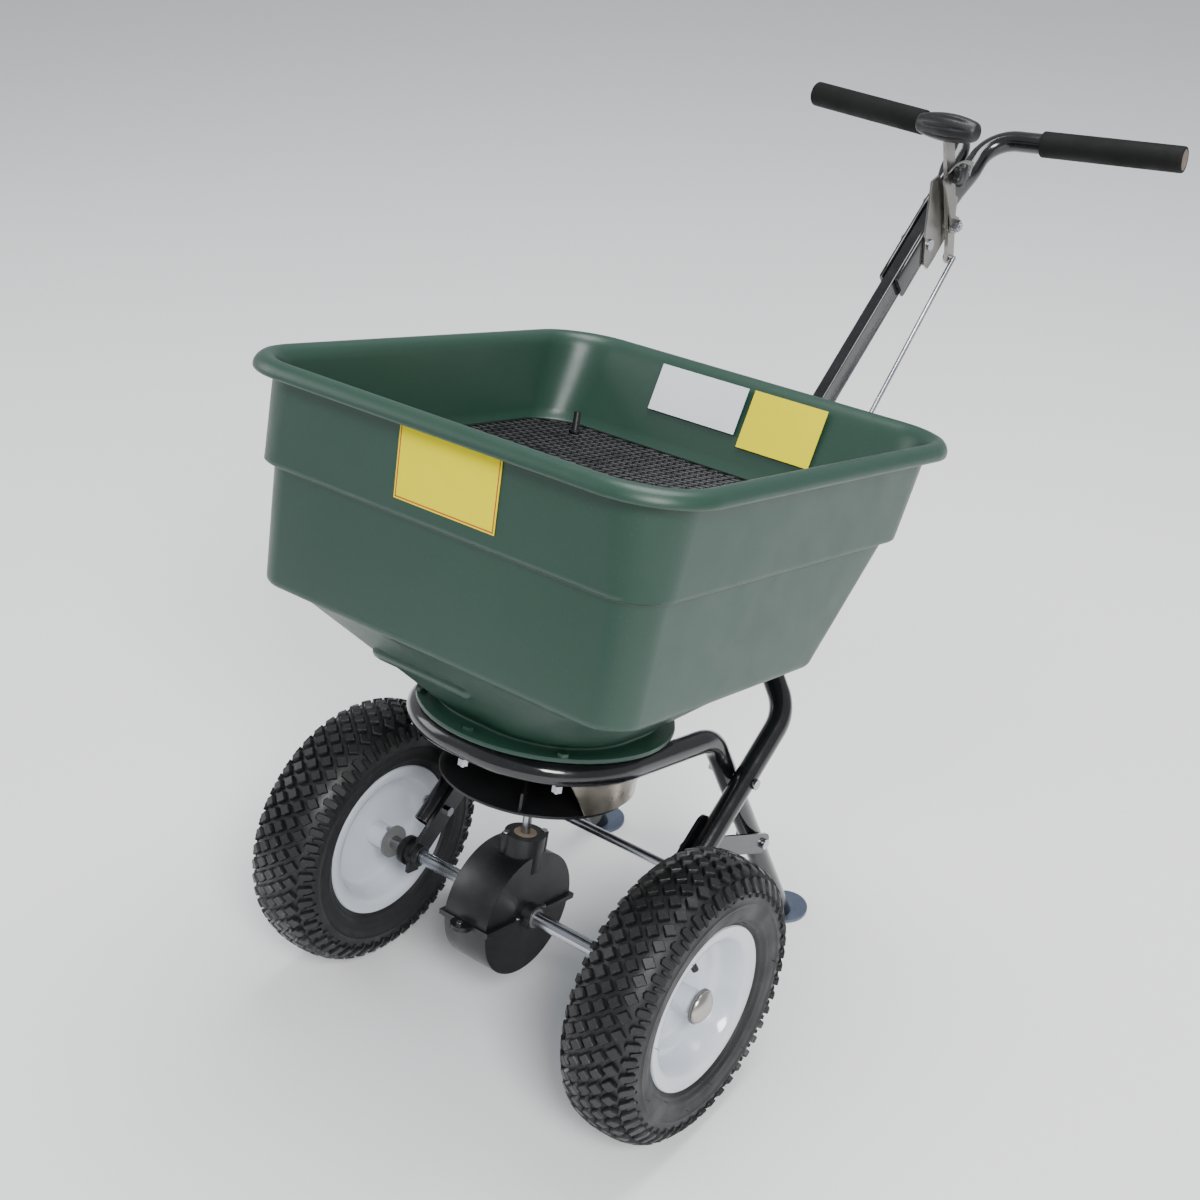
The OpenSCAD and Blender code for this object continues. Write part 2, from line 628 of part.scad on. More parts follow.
// Places children at height z on the handle's line, with their Z along the line and Y to its rear
module on_handle(z) { translate([0, on_line(z)[0], z]) rotate([-line_lean, 0, 0]) children(); }
lower_w = 15;
lower_d = 30;
lower_z0 = 285;
lower_z1 = 786;
flat_t = 6;
flat_w = 34;
flat_x = lower_w / 2 + 0.1 + flat_t;   // outer faces of the flattened tube ends
flat_z0 = 668;
round_x = 14.2;
round_z = 806;
corner_z = 856;
clamp_z = [722, 768];
function span(z0, z1) = (z1 - z0) / cos(line_lean);
// Distance from the handle's line to the arch tube's centre, and the bolt line that joins the two
arch_gap = (on_line(arch_top[1])[0] - arch_top[0]) * cos(line_lean);
arch_bolt_z = arch_top[1] - arch_gap * sin(line_lean);
module arch_bolt_line() { on_handle(arch_bolt_z) rotate([-90, 0, 0]) children(); }
module lower_handle() {
    color([0.05, 0.05, 0.05]) leaned() difference() {
        on_handle(lower_z0) difference() {
            translate([-lower_w / 2, -lower_d / 2, 0]) cube([lower_w, lower_d, span(lower_z0, lower_z1)]);
            translate([-lower_w / 2 + 1.6, -lower_d / 2 + 1.6, -1])
                cube([lower_w - 3.2, lower_d - 3.2, span(lower_z0, lower_z1) + 2]);
        }
        for (z = clamp_z) translate([0, on_line(z)[0], z]) along_x(-30) cylinder(h = 60, r = 4.1);
        arch_bolt_line() translate([0, 0, -30]) cylinder(h = 60, r = bolt_r + 0.1);
    }
}
module upper_handle(side) {
    color([0.05, 0.05, 0.05]) leaned() mirror([side < 0 ? 1 : 0, 0, 0]) difference() {
        union() {
            on_handle(flat_z0) translate([flat_x - flat_t, -flat_w / 2, 0])
                cube([flat_t, flat_w, span(flat_z0, round_z) + 12]);
            bent_tube([[round_x, on_line(round_z)[0], round_z], [round_x, on_line(corner_z)[0], corner_z],
                grip_tip - grip_dir * 4], [0, 42, 0], tube_r, tube_r - tube_wall);
        }
        for (z = clamp_z) translate([0, on_line(z)[0], z]) along_x(-30) cylinder(h = 60, r = 4.1);
    }
}
module handle_bolts() {
    color([0.75, 0.76, 0.78]) leaned() for (z = clamp_z) translate([0, on_line(z)[0], z]) {
        along_x(-flat_x - 6.1) hex(13, 6);
        along_x(-flat_x - 8) cylinder(h = flat_x + 8 + plate_x + plate_t + 1, r = 4);
        along_x(plate_x + plate_t + snug) cylinder(h = 2.7, r = 7);
    }
}
grip_tip = [grip_end_x, 754, 872];
grip_dir = unit(grip_tip - [round_x, on_line(corner_z)[0], corner_z]);
grip_len = 176;
module grip(side) {
    color([0.07, 0.07, 0.07]) leaned() mirror([side < 0 ? 1 : 0, 0, 0])
        pipe(grip_tip - grip_dir * grip_len, grip_tip, grip_r, tube_r + run);
}
module grip_caps() {
    color([0.55, 0.42, 0.32]) leaned() mirrored_pair()
        rod(grip_tip - grip_dir * 3.9, grip_tip - grip_dir * 0.5, tube_r - 0.02);
}

// ---- flow lever ---------------------------------------------------------------------------------------------------
pivot = [656, 749];
rod_eye = [673, 708];
knob_c = [594, 863];
clamp_c = pivot + 70 * unit(knob_c - pivot);
lever_x = 20;
lever_t = 5;
quadrant_x = 27;
plate_x = 13.8;
plate_t = 3;
arc_r = norm(clamp_c - pivot);
arc_start = atan2(clamp_c[1] - pivot[1], clamp_c[0] - pivot[0]);
lever_swing = 30;
module pivot_plate() {
    color([0.7, 0.68, 0.64]) leaned() difference() {
        translate([plate_x, 0, 0]) rotate([90, 0, 90]) linear_extrude(height = plate_t) polygon([[594, 798],
            [610, 806], [640, 790], [674, 782], [680, 752], [668, 736], [640, 700], [632, 692],
                [620, 697], [607, 735]]);
        for (z = clamp_z) translate([0, on_line(z)[0], z]) along_x(0) cylinder(h = 60, r = 4.1);
        translate([0, pivot[0], pivot[1]]) along_x(0) cylinder(h = 60, r = 4 + snug);
    }
}
module quadrant_plate() {
    color([0.7, 0.68, 0.64]) leaned() translate([quadrant_x, pivot[0], pivot[1]]) difference() {
        union() {
            rotate([arc_start - 180 + 14, 0, 0]) translate([0.1, -arc_r - 8, -7])
                cube([2.8, arc_r + 14, 12]);
            along_x(0) cylinder(h = 3, r = 11);
            rotate([90, 0, 90]) rotate([0, 0, arc_start - lever_swing - 8])
                rotate_extrude(angle = lever_swing + 22) translate([arc_r - 9, 0]) square([18, 3]);
        }
        rotate([90, 0, 90]) rotate([0, 0, arc_start - lever_swing - 4]) translate([0, 0, -1])
            rotate_extrude(angle = lever_swing + 8) translate([arc_r - 3.6, 0]) square([7.2, 5]);
        along_x(-5) cylinder(h = 20, r = 4 + snug);
    }
}
module pivot_bolt() {
    color([0.75, 0.76, 0.78]) leaned() translate([0, pivot[0], pivot[1]]) {
        along_x(plate_x) cylinder(h = 24, r = 4);
        along_x(plate_x + plate_t + snug) cylinder(h = 2.8, r = 7);
        along_x(lever_x + lever_t + 0.3) cylinder(h = 1.6, r = 7);
        along_x(quadrant_x + 3.02) hex(13, 6);
    }
}
module lever() {
    color([0.72, 0.7, 0.66]) leaned() difference() {
        union() {
            flat_bar(lever_x, lever_t, rod_eye, pivot, 17);
            flat_bar(lever_x, lever_t, pivot, knob_c, 20);
            translate([0, clamp_c[0], clamp_c[1]]) along_x(lever_x) cylinder(h = 23, r = 3);
        }
        translate([0, pivot[0], pivot[1]]) along_x(0) cylinder(h = 60, r = 4 + run);
        translate([0, rod_eye[0], rod_eye[1]]) along_x(0) cylinder(h = 60, r = 3 + run);
    }
}
// Fluted barrel knob across the top of the lever
module lever_knob() {
    color([0.06, 0.06, 0.06]) leaned() translate([0, knob_c[0], knob_c[1]]) difference() {
        along_x(-18) rotate_extrude() polygon([[0, 0], [11, 0], [13.5, 4], [16, 16], [17, 34], [17, 46],
            [16, 64], [13.5, 76], [11, 80], [0, 80]]);
        translate([lever_x - 0.02, 0, 0]) rotate([atan2(pivot[1] - knob_c[1], pivot[0] - knob_c[0]), 0, 0])
            translate([0, -10.02, -10.02]) cube([lever_t + 0.04, 60, 20.04]);
    }
}
module clamp_knob() {
    color([0.05, 0.05, 0.05]) leaned() translate([quadrant_x + 3.3, clamp_c[0], clamp_c[1]]) difference() {
        union() {
            along_x(0) cylinder(h = 13, r = 9);
            for (a = [0 : 72 : 288]) rotate([a, 0, 0]) translate([3, 0, 10]) along_x(0)
                cylinder(h = 9.4, r = 5);
        }
        along_x(-1) cylinder(h = 30, r = 3 + run);
    }
}

// ---- control rod -----------------------------------------------------------------------------------------------------
rod_r = 3;
rod_x = 29;
rod_end_x = plate_x + plate_t + 0.35;
rod_top = [rod_x, rod_eye[0], rod_eye[1]];
rod_bend = [40, 432, 404];
rod_foot = [arm_tip[0], arm_tip[1], floor_z + 3];
module control_rod() {
    color([0.75, 0.77, 0.8]) leaned() {
        translate([0, rod_eye[0], rod_eye[1]]) along_x(rod_end_x)
            cylinder(h = rod_x - rod_end_x + 2, r = rod_r);
        rod(rod_top - unit(rod_bend - rod_top), rod_bend + unit(rod_bend - rod_top), rod_r);
        translate(rod_bend) sphere(r = rod_r + 0.4);
        rod(rod_bend, rod_foot + unit(rod_foot - rod_bend), rod_r);
        rod(rod_foot - [0, 0, 16], rod_foot + [0, 0, 2], rod_r);
    }
}
module rod_clip() {
    color([0.78, 0.79, 0.8]) leaned() translate([0, rod_eye[0], rod_eye[1]]) difference() {
        along_x(rod_end_x) cylinder(h = lever_x - 0.3 - rod_end_x, r = 7);
        along_x(0) cylinder(h = 60, r = rod_r + snug);
    }
}

tyre(-1);  // tyre_left
tyre(1);  // tyre_right
inner_tube(-1);  // inner_tube_left
inner_tube(1);  // inner_tube_right
rim(-1);  // rim_left
rim(1);  // rim_right
hub(-1);  // hub_left
hub(1);  // hub_right
hub_bushes(-1);  // hub_bushes_left
hub_bushes(1);  // hub_bushes_right
hub_cap(-1);  // hub_cap_left
hub_cap(1);  // hub_cap_right
axle();
axle_pins();
axle_bushes();
gear_case_upper();
gear_case_lower();
case_screws();
case_bushes();
bevel_gear();
pinion();
shaft_bush();
impeller_shaft();
impeller();
impeller_pin();
agitator();
hopper();
screen();
screen_peg();
shutter();
shutter_arm();
shutter_guides();
deflector();
hopper_bolts();
front_label();
rear_labels();
leg_frame();
foot(-1);  // foot_left
foot(1);  // foot_right
strut(-1);  // strut_left
strut(1);  // strut_right
handle_frame();
side_straps();
brace_rod();
frame_bolts();
lower_handle();
upper_handle(-1);  // upper_handle_left
upper_handle(1);  // upper_handle_right
handle_bolts();
grip(-1);  // grip_left
grip(1);  // grip_right
grip_caps();
pivot_plate();
quadrant_plate();
pivot_bolt();
lever();
lever_knob();
clamp_knob();
rod_clip();
control_rod();
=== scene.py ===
import math

import bmesh
import bpy
from mathutils import Matrix, Vector


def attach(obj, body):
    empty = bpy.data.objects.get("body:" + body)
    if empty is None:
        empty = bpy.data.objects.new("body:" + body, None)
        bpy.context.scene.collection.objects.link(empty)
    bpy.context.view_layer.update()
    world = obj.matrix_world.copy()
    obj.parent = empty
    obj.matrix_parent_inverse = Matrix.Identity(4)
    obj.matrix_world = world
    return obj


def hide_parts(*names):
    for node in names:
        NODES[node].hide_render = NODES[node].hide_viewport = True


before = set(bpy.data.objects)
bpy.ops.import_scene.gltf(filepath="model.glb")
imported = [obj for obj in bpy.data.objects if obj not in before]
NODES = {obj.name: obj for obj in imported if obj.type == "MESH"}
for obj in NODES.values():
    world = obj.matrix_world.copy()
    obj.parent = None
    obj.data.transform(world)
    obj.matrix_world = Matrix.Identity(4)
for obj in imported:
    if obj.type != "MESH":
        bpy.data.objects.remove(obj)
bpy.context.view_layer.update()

# The machine's own upright frame: axle along X at its origin, leaned back about the axle. Shapes below are in
# millimetres of that frame, or of a wheel's frame, whose Z points outwards.
ORIGIN_Y = -407.35
TYRE_R = 155.0
LEAN = math.radians(15)
HALF_TRACK = 220.0
MM = Matrix.Scale(0.001, 4)
AXLE = Matrix.Translation((0, ORIGIN_Y / 1000, TYRE_R / 1000))
MACHINE = AXLE @ Matrix.Rotation(-LEAN, 4, "X") @ MM


def wheel_frame(side):
    turned = Matrix.Rotation(side * math.pi / 2, 4, "Y")
    return AXLE @ Matrix.Translation((side * HALF_TRACK / 1000, 0, 0)) @ turned @ MM


def side_name(side):
    return "left" if side < 0 else "right"


# ---- materials ------------------------------------------------------------------------------------------
def new_material(name):
    m = bpy.data.materials.new(name)
    m.use_nodes = True
    return m, m.node_tree.nodes, m.node_tree.links, m.node_tree.nodes["Principled BSDF"]


def noise(nodes, links, scale, detail=4.0, stretch=None):
    coord = nodes.new("ShaderNodeTexCoord")
    tex = nodes.new("ShaderNodeTexNoise")
    tex.inputs["Scale"].default_value = scale
    tex.inputs["Detail"].default_value = detail
    if stretch:
        mapping = nodes.new("ShaderNodeMapping")
        mapping.inputs["Scale"].default_value = stretch
        links.new(coord.outputs["Object"], mapping.inputs["Vector"])
        links.new(mapping.outputs["Vector"], tex.inputs["Vector"])
    else:
        links.new(coord.outputs["Object"], tex.inputs["Vector"])
    return tex.outputs["Fac"]


def ramp(nodes, links, source, low, high, start=0.35, end=0.65):
    r = nodes.new("ShaderNodeMapRange")
    r.inputs["From Min"].default_value = start
    r.inputs["From Max"].default_value = end
    r.inputs["To Min"].default_value = low
    r.inputs["To Max"].default_value = high
    links.new(source, r.inputs["Value"])
    return r.outputs["Result"]


def surface(name, base, worn, rough, metallic=0.0, grain=900.0, grain_depth=0.00015, patch=14.0, stretch=None,
            speck=0.0, speck_color=None, coat=0.0, ior=1.5):
    """A material whose colour, roughness and bump all vary: base and worn are its two colours."""
    m, nodes, links, shader = new_material(name)
    patches = noise(nodes, links, patch, 6.0)
    mix = nodes.new("ShaderNodeMix")
    mix.data_type = "RGBA"
    mix.inputs["A"].default_value = (*base, 1)
    mix.inputs["B"].default_value = (*worn, 1)
    links.new(ramp(nodes, links, patches, 0, 1), mix.inputs["Factor"])
    colour = mix.outputs["Result"]
    if speck:
        dots = noise(nodes, links, 420.0, 2.0)
        over = nodes.new("ShaderNodeMix")
        over.data_type = "RGBA"
        over.inputs["B"].default_value = (*speck_color, 1)
        links.new(colour, over.inputs["A"])
        links.new(ramp(nodes, links, dots, 0, speck, 0.62, 0.7), over.inputs["Factor"])
        colour = over.outputs["Result"]
    links.new(colour, shader.inputs["Base Color"])
    fine = noise(nodes, links, grain, 3.0, stretch)
    smudge = noise(nodes, links, 30.0, 5.0)
    links.new(ramp(nodes, links, smudge, rough[0], rough[1]), shader.inputs["Roughness"])
    bump = nodes.new("ShaderNodeBump")
    bump.inputs["Strength"].default_value = 0.6
    bump.inputs["Distance"].default_value = grain_depth
    links.new(fine, bump.inputs["Height"])
    links.new(bump.outputs["Normal"], shader.inputs["Normal"])
    shader.inputs["Metallic"].default_value = metallic
    shader.inputs["IOR"].default_value = ior
    shader.inputs["Coat Weight"].default_value = coat
    shader.inputs["Coat Roughness"].default_value = 0.08
    return m


GREEN = surface("green_poly", (0.013, 0.044, 0.029), (0.015, 0.048, 0.032), (0.36, 0.42),
                grain=1300, grain_depth=0.0002, patch=5, speck=0.08, speck_color=(0.08, 0.15, 0.11))
RUBBER = surface("tyre_rubber", (0.004, 0.004, 0.0045), (0.008, 0.008, 0.009), (0.4, 0.6),
                 grain=600, grain_depth=0.0003, speck=0.25, speck_color=(0.07, 0.07, 0.07))
WHITE = surface("white_paint", (0.6, 0.63, 0.68), (0.54, 0.57, 0.62), (0.12, 0.24),
                grain=180, grain_depth=0.0001, coat=0.5, speck=0.1, speck_color=(0.4, 0.36, 0.3))
BLACK = surface("black_paint", (0.003, 0.003, 0.004), (0.006, 0.006, 0.007), (0.12, 0.26),
                grain=160, grain_depth=0.00015, coat=0.4, speck=0.2, speck_color=(0.06, 0.06, 0.06))
DARK_PLATE = surface("dark_plate", (0.1, 0.125, 0.18), (0.16, 0.19, 0.25), (0.24, 0.42),
                     metallic=0.7, grain=300)
ZINC = surface("zinc", (0.52, 0.54, 0.57), (0.4, 0.41, 0.44), (0.14, 0.3), metallic=1.0,
               grain=240, grain_depth=0.00002, stretch=(1, 6, 6), speck=0.06, speck_color=(0.3, 0.3, 0.3))
STEEL_PLATE = surface("steel_plate", (0.36, 0.35, 0.33), (0.28, 0.27, 0.25), (0.26, 0.4), metallic=1.0,
                      grain=260, grain_depth=0.00003, speck=0.12, speck_color=(0.16, 0.14, 0.12))
# The deflector is plain zinc; its tan colour is a painted reflection of a warm ground.
ZINC_PAINTED_REFLECTION = surface("tan_zinc", (0.42, 0.38, 0.32), (0.33, 0.3, 0.26), (0.24, 0.42), metallic=1.0,
                   grain=200, grain_depth=0.00006, stretch=(4, 1, 4), speck=0.3,
                   speck_color=(0.2, 0.17, 0.14))
# The hub caps are chrome; the warm tint in their colour is a painted reflection of a warm ground.
CAP_CHROME_PAINTED_REFLECTION = surface("cap_chrome_painted_reflection", (0.5, 0.47, 0.43), (0.42, 0.4, 0.37), (0.2, 0.34), metallic=1.0, grain=400)
BLACK_PLASTIC = surface("black_plastic", (0.005, 0.005, 0.006), (0.01, 0.01, 0.011), (0.3, 0.46),
                        grain=1500, grain_depth=0.00025, speck=0.15, speck_color=(0.06, 0.06, 0.06))
GEAR_PLASTIC = surface("gear_plastic", (0.1, 0.1, 0.1), (0.14, 0.14, 0.14), (0.4, 0.6), grain=800)
TAN_BUSH = surface("tan_bush", (0.3, 0.24, 0.16), (0.24, 0.19, 0.13), (0.4, 0.6), grain=900)
FOAM = surface("foam", (0.003, 0.003, 0.003), (0.006, 0.006, 0.006), (0.6, 0.8),
               grain=2200, grain_depth=0.0003, speck=0.15, speck_color=(0.02, 0.02, 0.02), ior=1.3)
CAP_TAN = surface("cap_tan", (0.14, 0.11, 0.085), (0.2, 0.16, 0.12), (0.7, 0.9),
                  grain=1800, grain_depth=0.0006, speck=0.6, speck_color=(0.05, 0.04, 0.03))
YELLOW = surface("label_yellow", (0.78, 0.68, 0.0), (0.74, 0.64, 0.0), (0.5, 0.62),
                 grain=60, grain_depth=0.0001, ior=1.2)
WHITE_FILM = surface("label_white", (0.72, 0.75, 0.8), (0.68, 0.71, 0.77), (0.3, 0.45), grain=60)
RED_LINE = surface("label_red", (0.45, 0.04, 0.02), (0.4, 0.035, 0.02), (0.35, 0.5), grain=60)
MESH_BLACK = surface("mesh_black", (0.006, 0.006, 0.007), (0.012, 0.012, 0.013), (0.22, 0.4),
                     metallic=0.2, grain=500)

CAD_LOOKS = {
    "rim_left": WHITE, "rim_right": WHITE, "hub_left": WHITE, "hub_right": WHITE,
    "hub_bushes_left": GEAR_PLASTIC, "hub_bushes_right": GEAR_PLASTIC,
    "case_bushes": GEAR_PLASTIC, "bevel_gear": GEAR_PLASTIC,
    "axle": ZINC, "axle_pins": ZINC, "case_screws": ZINC, "pinion": ZINC, "impeller_shaft": ZINC,
    "impeller_pin": ZINC, "agitator": ZINC, "hopper_bolts": ZINC, "brace_rod": ZINC,
    "frame_bolts": ZINC, "handle_bolts": ZINC, "pivot_bolt": ZINC, "rod_clip": ZINC,
    "control_rod": ZINC, "shutter": ZINC, "shutter_arm": ZINC, "shutter_guides": ZINC,
    "pivot_plate": STEEL_PLATE, "quadrant_plate": STEEL_PLATE, "lever": STEEL_PLATE,
    "axle_bushes": BLACK_PLASTIC, "gear_case_upper": BLACK_PLASTIC,
    "gear_case_lower": BLACK_PLASTIC, "impeller": BLACK_PLASTIC, "screen_peg": BLACK_PLASTIC,
    "shaft_bush": TAN_BUSH, "deflector": ZINC_PAINTED_REFLECTION,
    "leg_frame": BLACK, "strut_left": BLACK, "strut_right": BLACK, "handle_frame": BLACK,
    "side_straps": BLACK, "lower_handle": BLACK,
    "foot_left": DARK_PLATE, "foot_right": DARK_PLATE, "grip_caps": CAP_TAN,
    "front_label": YELLOW, "rear_labels": WHITE_FILM,
    "inner_tube_left": RUBBER, "inner_tube_right": RUBBER,
    "hub_cap_left": CAP_CHROME_PAINTED_REFLECTION, "hub_cap_right": CAP_CHROME_PAINTED_REFLECTION,
}
# Width in millimetres of the small bevel on each CAD piece that is seen close to
SOFT_EDGES = {
    "gear_case_upper": 1.6, "gear_case_lower": 1.6, "lower_handle": 1.6, "strut_left": 0.8,
    "strut_right": 0.8, "side_straps": 0.6, "foot_left": 0.8, "foot_right": 0.8, "lever": 0.5,
    "pivot_plate": 0.4, "quadrant_plate": 0.4, "impeller": 0.6, "case_screws": 0.4,
    "frame_bolts": 0.5, "handle_bolts": 0.6, "pivot_bolt": 0.5, "hopper_bolts": 0.5,
    "shutter_arm": 0.4, "axle_bushes": 0.8, "rod_clip": 0.4, "axle": 0.6, "impeller_shaft": 0.5,
    "shaft_bush": 0.4, "screen_peg": 0.6, "hub_left": 0.5, "hub_right": 0.5,
}


# Above this height of the machine's frame, a face of the hopper bolts is on top of the flange
BOLT_TOP_Z = 239.5
# Where the two plates inside the hopper part, in metres
LABEL_GAP_X = 0.008

for node, material in CAD_LOOKS.items():
    NODES[node].data.materials.clear()
    NODES[node].data.materials.append(material)
# The tops of the hopper bolts are coated green with the flange
bolts = NODES["hopper_bolts"].data
bolts.materials.append(GREEN)
for face in bolts.polygons:
    if (MACHINE.inverted() @ face.center).z > BOLT_TOP_Z:
        face.material_index = 1
# The right-hand plate inside the hopper is yellow
labels = NODES["rear_labels"].data
labels.materials.append(YELLOW)
for face in labels.polygons:
    if face.center.x > LABEL_GAP_X:
        face.material_index = 1
for node, width in SOFT_EDGES.items():
    weld = NODES[node].modifiers.new("weld", "WELD")
    weld.merge_threshold = 0.00001
    bevel = NODES[node].modifiers.new("soft_edges", "BEVEL")
    bevel.width = width / 1000
    bevel.segments = 2
    bevel.limit_method = "ANGLE"
    bevel.angle_limit = math.radians(40)


# ---- mesh helpers ---------------------------------------------------------------------------------------
def make(name, bm, matrix, material, body, stands_for=(), sharp=38):
    """Turns bm into a piece that rides on a body, and may stand for CAD nodes; sharp is in degrees."""
    bmesh.ops.recalc_face_normals(bm, faces=bm.faces)
    mesh = bpy.data.meshes.new(name)
    bm.to_mesh(mesh)
    bm.free()
    mesh.transform(matrix)
    if matrix.determinant() < 0:
        mesh.flip_normals()
    mesh.shade_smooth()
    mesh.set_sharp_from_angle(angle=math.radians(sharp))
    obj = bpy.data.objects.new(name, mesh)
    bpy.context.scene.collection.objects.link(obj)
    obj.data.materials.append(material)
    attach(obj, body)
    if stands_for:
        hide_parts(*stands_for)


def skin(bm, rings, caps=False, loop=False):
    """Joins rings of equal length with quads. Each ring is a closed list of vertices."""
    pairs = list(zip(rings, rings[1:]))
    if loop:
        pairs.append((rings[-1], rings[0]))
    n = len(rings[0])
    for a, b in pairs:
        for i in range(n):
            j = (i + 1) % n
            bm.faces.new((a[i], a[j], b[j], b[i]))
    if caps:
        bm.faces.new(rings[0])
        bm.faces.new(rings[-1])


def ring_of(bm, points):
    return [bm.verts.new(p) for p in points]


def revolve(bm, profile, steps=96, loop=False):
    """Turns (radius, height) points about Z."""
    turns = [2 * math.pi * i / steps for i in range(steps)]
    rings = [ring_of(bm, [(r * math.cos(t), r * math.sin(t), z) for t in turns]) for r, z in profile]
    skin(bm, rings, loop=loop, caps=not loop)


def rounded(points, per_span=6):
    """A smooth open line through the points, as Catmull-Rom spans."""
    pts = [Vector(p) for p in points]
    ends = [pts[0] * 2 - pts[1]] + pts + [pts[-1] * 2 - pts[-2]]
    out = []
    for i in range(1, len(ends) - 2):
        a, b, c, d = ends[i - 1:i + 3]
        for k in range(per_span):
            t = k / per_span
            out.append(0.5 * (2 * b + (c - a) * t + (2 * a - 5 * b + 4 * c - d) * t * t
                              + (3 * b - a - 3 * c + d) * t ** 3))
    out.append(pts[-1])
    return out


def rounded_rect(half_w, front, rear, z, radius, corner=14, straight=6):
    """Points of a rounded rectangle at height z, the same count whatever its size."""
    out = []
    corners = [((half_w - radius, rear - radius), 0), ((-half_w + radius, rear - radius), 90),
               ((-half_w + radius, front + radius), 180), ((half_w - radius, front + radius), 270)]
    for k, ((cx, cy), start) in enumerate(corners):
        arc = []
        for i in range(corner + 1):
            a = math.radians(start + 90 * i / corner)
            arc.append((cx + radius * math.cos(a), cy + radius * math.sin(a), z))
        (nx, ny), nstart = corners[(k + 1) % 4]
        a = math.radians(nstart)
        last = arc[-1]
        following = (nx + radius * math.cos(a), ny + radius * math.sin(a), z)
        out += arc
        for i in range(1, straight):
            out.append(tuple(last[j] + (following[j] - last[j]) * i / straight for j in range(3)))
    return out


def block(bm, low, high):
    """A box from one corner to the other."""
    got = bmesh.ops.create_cube(bm, size=1)
    for v in got["verts"]:
        v.co = [low[i] + (v.co[i] + 0.5) * (high[i] - low[i]) for i in range(3)]


# ---- hopper ---------------------------------------------------------------------------------------------
# The funnel's front line as its foot, run and rise, and the foot and rise of the upper band
FUNNEL_FRONT, FUNNEL_FOOT = -109, 243.5
FUNNEL_RUN, FUNNEL_RISE = 87, 92
BAND_FOOT, BAND_RISE = 462, 94


def wall_ring(out, z):
    """The hopper's upper band, offset outwards."""
    k = (z - BAND_FOOT) / BAND_RISE
    return rounded_rect(243 + 4 * k + out, -225 - 4 * k - out, 251 + 35 * k + out, z, 44 + 14 * k + out)


# Distance outwards from the band, and height, round the rolled lip from outside to inside
ROLLED_LIP = [(0.4, 551.5), (1.6, 554.6), (4.2, 556.6), (8, 557.2), (12.5, 557.4), (15.4, 556.6),
              (16.6, 555), (17.6, 553.4), (19, 553), (20, 554), (20.2, 556), (19.4, 559.4), (17, 563.4),
              (13.6, 566.4), (9.6, 567.8), (6, 568), (2.8, 567), (0, 564.8), (-2.2, 561.6), (-3.6, 557.4),
              (-4, 552)]


def hopper():
    """One closed skin: flange, funnel, lower wall, band and lip outside, then the same way down inside."""
    bm = bmesh.new()
    rings = [rounded_rect(136, -136, 136, 235.2, 136), rounded_rect(136.5, -136.5, 136.5, 237, 136.5),
             rounded_rect(136, -136, 136, 239.7, 136), rounded_rect(134.6, -134.6, 134.6, 240.4, 134.6),
             rounded_rect(118, -114, 118, 240.6, 101), rounded_rect(113.5, -109.5, 113.5, 241.4, 97),
             rounded_rect(112.6, FUNNEL_FRONT, 112.4, FUNNEL_FOOT, 95)]
    for i in range(1, 9):
        k = i / 8
        rings.append(rounded_rect(112.6 + 98 * k, FUNNEL_FRONT - FUNNEL_RUN * k, 112.4 + 12 * k,
                                  FUNNEL_FOOT + FUNNEL_RISE * k, 95 - 55 * k))
    rings += [rounded_rect(217, -202, 130, 337.6, 38), rounded_rect(224, -209, 138, 338.8, 37),
              rounded_rect(227.5, -212.5, 141.5, 340.4, 36), rounded_rect(229, -214, 143.5, 343, 36),
              rounded_rect(229.4, -214.2, 146, 347, 36)]
    for i in range(1, 7):
        k = i / 6
        rings.append(rounded_rect(229.4 + 4.8 * k, -214.2 - 2.4 * k, 146 + 91 * k, 347 + 111 * k, 36 + 4 * k))
    rings += [rounded_rect(234.4, -216.8, 238.4, 461.4, 40), rounded_rect(235.8, -218.2, 241, 462.6, 41),
              rounded_rect(241.8, -223.8, 248.6, 463, 43), rounded_rect(243.2, -225.2, 251, 464.4, 44)]
    for z in (468, 485, 505, 525, 540, 548):
        rings.append(wall_ring(0, z))
    for out, z in ROLLED_LIP:
        rings.append(wall_ring(out, z))
    for z in (540, 520, 500, 480, 468.6):
        rings.append(wall_ring(-4, z))
    rings += [rounded_rect(238.2, -220.2, 246.2, 466.4, 42), rounded_rect(236, -218, 243, 465.9, 44),
              rounded_rect(233, -215, 238.4, 465.6, 46), rounded_rect(232, -214, 236.6, 463.6, 46)]
    for i in range(1, 6):
        k = i / 5
        rings.append(rounded_rect(232 - 6.6 * k, -214 + 3.6 * k, 236.6 - 93 * k, 463.6 - 112 * k, 46 - 4 * k))
    rings += [rounded_rect(224.4, -209, 139, 346.4, 40), rounded_rect(220, -204, 132, 344, 38),
              rounded_rect(210, -195, 123, 342.4, 38), rounded_rect(205, -190.6, 118.6, 338, 40)]
    for i in range(1, 6):
        k = i / 5
        rings.append(rounded_rect(205 - 96 * k, -190.6 + 85.6 * k, 118.6 - 10.6 * k, 338 - 95 * k,
                                  40 + 51 * k))
    rings += [rounded_rect(104, -101, 104, 240.9, 88), rounded_rect(60, -60, 60, 240.4, 60),
              rounded_rect(7, -7, 7, 240.3, 7), rounded_rect(7, -7, 7, 235.2, 7),
              rounded_rect(60, -60, 60, 235.2, 60)]
    skin(bm, [ring_of(bm, r) for r in rings], loop=True)
    make("hopper_shell", bm, MACHINE, GREEN, "frame", ["hopper"], sharp=50)


